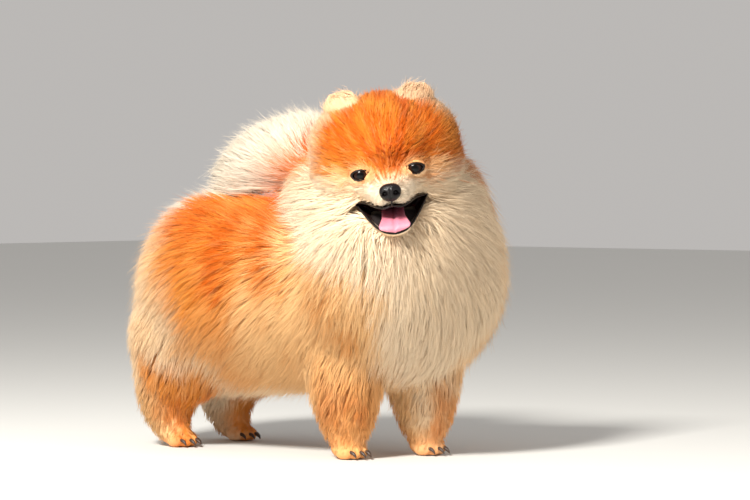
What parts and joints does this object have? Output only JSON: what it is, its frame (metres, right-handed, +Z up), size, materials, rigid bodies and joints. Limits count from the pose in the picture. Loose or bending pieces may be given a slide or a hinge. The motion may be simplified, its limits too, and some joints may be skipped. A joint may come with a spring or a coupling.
{
  "type": "pomeranian dog model",
  "caption": "Life-size still model of a standing pomeranian with a full ruff, plumed tail over the back, head turned to its right and mouth open.",
  "frame": {"origin": "on the floor under the middle of the dog's bounding box", "axes": "+Z up, the dog's body faces -Y, its left side is +X"},
  "size_m": [0.199, 0.3476, 0.294],
  "materials": {
    "orange_coat": "long dense orange fur",
    "cream_coat": "long soft cream fur",
    "nose_leather": "moist black nose leather with a fine pebbled grain",
    "dark_eye": "very dark brown, wet and glossy",
    "tongue_skin": "moist pink tongue"
  },
  "bodies": {
    "root": {"nose": "nose_leather", "tongue": "tongue_skin", "jaw": "cream_coat", "head": "orange_coat", "eye_right": "dark_eye", "eye_left": "dark_eye", "ear_right": "cream_coat", "ear_left": "cream_coat", "neck": "cream_coat", "torso": "orange_coat", "tail": "cream_coat", "leg_front_right": "orange_coat", "leg_front_left": "orange_coat", "leg_hind_right": "orange_coat", "leg_hind_left": "orange_coat"}
  },
  "joints": []
}
